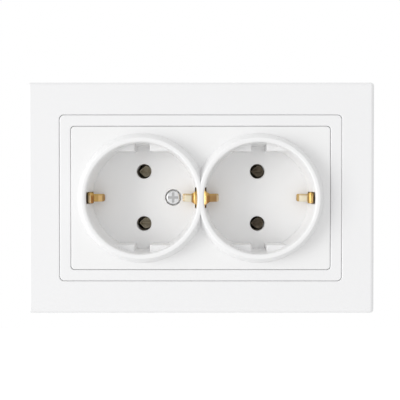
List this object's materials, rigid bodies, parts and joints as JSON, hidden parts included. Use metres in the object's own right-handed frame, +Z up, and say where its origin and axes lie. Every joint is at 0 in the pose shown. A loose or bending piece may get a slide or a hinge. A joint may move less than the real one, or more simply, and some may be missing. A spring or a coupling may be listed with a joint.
{
  "type": "double wall socket",
  "caption": "Double wall socket: a horizontal frame with one cover holding two round earthed cups, with terminals, claws and a base behind it.",
  "frame": {"origin": "middle of the wall plane behind the socket, on the back face of the support strap", "axes": "+Z up as it hangs, -Y out of the wall towards the user, +X to the right seen from the front"},
  "size_m": [0.1226, 0.0414, 0.0816],
  "materials": {
    "frame_plastic": "gloss white moulding",
    "cover_plastic": "gloss white moulding",
    "base_plastic": "matte off-white thermoset",
    "contact_bronze": "dull tinned bronze",
    "brass": "bright rolled brass",
    "zinc_steel": "zinc-plated steel"
  },
  "bodies": {
    "root": {"outer_frame": "frame_plastic", "trim_ring": "frame_plastic", "socket_cover": "cover_plastic", "cover_screw": "zinc_steel", "cover_insert": "brass", "support_strap": "zinc_steel", "claw_pin_left": "zinc_steel", "claw_pin_right": "zinc_steel", "base_body": "base_plastic", "rear_cover": "base_plastic", "rear_cover_screw": "zinc_steel", "base_screw_upper": "zinc_steel", "base_screw_lower": "zinc_steel", "line_contact_bar": "contact_bronze", "neutral_contact_bar": "contact_bronze", "earth_bar": "brass"},
    "line_screw": {"line_terminal_screw": "zinc_steel"},
    "line_cage": {"line_terminal_cage": "zinc_steel"},
    "neutral_screw": {"neutral_terminal_screw": "zinc_steel"},
    "neutral_cage": {"neutral_terminal_cage": "zinc_steel"},
    "earth_screw": {"earth_terminal_screw": "zinc_steel"},
    "earth_cage": {"earth_terminal_cage": "zinc_steel"},
    "claw_screw_left": {"claw_screw_left": "zinc_steel"},
    "claw_left": {"claw_left": "zinc_steel"},
    "claw_screw_right": {"claw_screw_right": "zinc_steel"},
    "claw_right": {"claw_right": "zinc_steel"},
    "earth_clip_left_outer": {"earth_clip_left_outer": "brass", "clip_rivet_left_outer": "brass"},
    "earth_clip_left_inner": {"earth_clip_left_inner": "brass", "clip_rivet_left_inner": "brass"},
    "earth_clip_right_inner": {"earth_clip_right_inner": "brass", "clip_rivet_right_inner": "brass"},
    "earth_clip_right_outer": {"earth_clip_right_outer": "brass", "clip_rivet_right_outer": "brass"}
  },
  "joints": [
    {"name": "line_screw_turn", "type": "hinge", "parent": "root", "child": "line_screw", "pos_m": [-0.0065, 0, 0.0185], "axis": [0, 1, 0], "range_deg": [0, 2040]},
    {"name": "line_cage_rise", "type": "slide", "parent": "root", "child": "line_cage", "axis": [0, -1, 0], "range_m": [0, 0.0034]},
    {"name": "neutral_screw_turn", "type": "hinge", "parent": "root", "child": "neutral_screw", "pos_m": [0.0065, 0, -0.0185], "axis": [0, 1, 0], "range_deg": [0, 2040]},
    {"name": "neutral_cage_rise", "type": "slide", "parent": "root", "child": "neutral_cage", "axis": [0, -1, 0], "range_m": [0, 0.0034]},
    {"name": "earth_screw_turn", "type": "hinge", "parent": "root", "child": "earth_screw", "pos_m": [0.01, 0, 0], "axis": [0, 1, 0], "range_deg": [0, 2040]},
    {"name": "earth_cage_rise", "type": "slide", "parent": "root", "child": "earth_cage", "axis": [0, -1, 0], "range_m": [0, 0.0034]},
    {"name": "claw_screw_left_turn", "type": "hinge", "parent": "root", "child": "claw_screw_left", "pos_m": [-0.0274, 0, 0], "axis": [0, 1, 0], "range_deg": [0, 1005]},
    {"name": "claw_left_spread", "type": "hinge", "parent": "root", "child": "claw_left", "pos_m": [-0.0234, 0.0026, 0], "axis": [0, 0, 1], "range_deg": [0, 20]},
    {"name": "claw_screw_right_turn", "type": "hinge", "parent": "root", "child": "claw_screw_right", "pos_m": [0.0274, 0, 0], "axis": [0, 1, 0], "range_deg": [0, 1005]},
    {"name": "claw_right_spread", "type": "hinge", "parent": "root", "child": "claw_right", "pos_m": [0.0234, 0.0026, 0], "axis": [0, 0, -1], "range_deg": [0, 20]},
    {"name": "earth_clip_left_outer_flex", "type": "hinge", "parent": "root", "child": "earth_clip_left_outer", "pos_m": [-0.0399, -0.00235, 0], "axis": [0, 0, -1], "range_deg": [0, 3], "stiffness_Nm_per_rad": 0.5},
    {"name": "earth_clip_left_inner_flex", "type": "hinge", "parent": "root", "child": "earth_clip_left_inner", "pos_m": [-0.0013, -0.00235, 0], "axis": [0, 0, 1], "range_deg": [0, 3], "stiffness_Nm_per_rad": 0.5},
    {"name": "earth_clip_right_inner_flex", "type": "hinge", "parent": "root", "child": "earth_clip_right_inner", "pos_m": [0.0013, -0.00235, 0], "axis": [0, 0, -1], "range_deg": [0, 3], "stiffness_Nm_per_rad": 0.5},
    {"name": "earth_clip_right_outer_flex", "type": "hinge", "parent": "root", "child": "earth_clip_right_outer", "pos_m": [0.0399, -0.00235, 0], "axis": [0, 0, 1], "range_deg": [0, 3], "stiffness_Nm_per_rad": 0.5}
  ],
  "couplings": [
    {"joint": "line_screw_turn", "follows": "line_cage_rise", "rad_per_m": 10472},
    {"joint": "neutral_screw_turn", "follows": "neutral_cage_rise", "rad_per_m": 10472},
    {"joint": "earth_screw_turn", "follows": "earth_cage_rise", "rad_per_m": 10472},
    {"joint": "claw_screw_left_turn", "follows": "claw_left_spread", "ratio": 50.25},
    {"joint": "claw_screw_right_turn", "follows": "claw_right_spread", "ratio": 50.25}
  ]
}
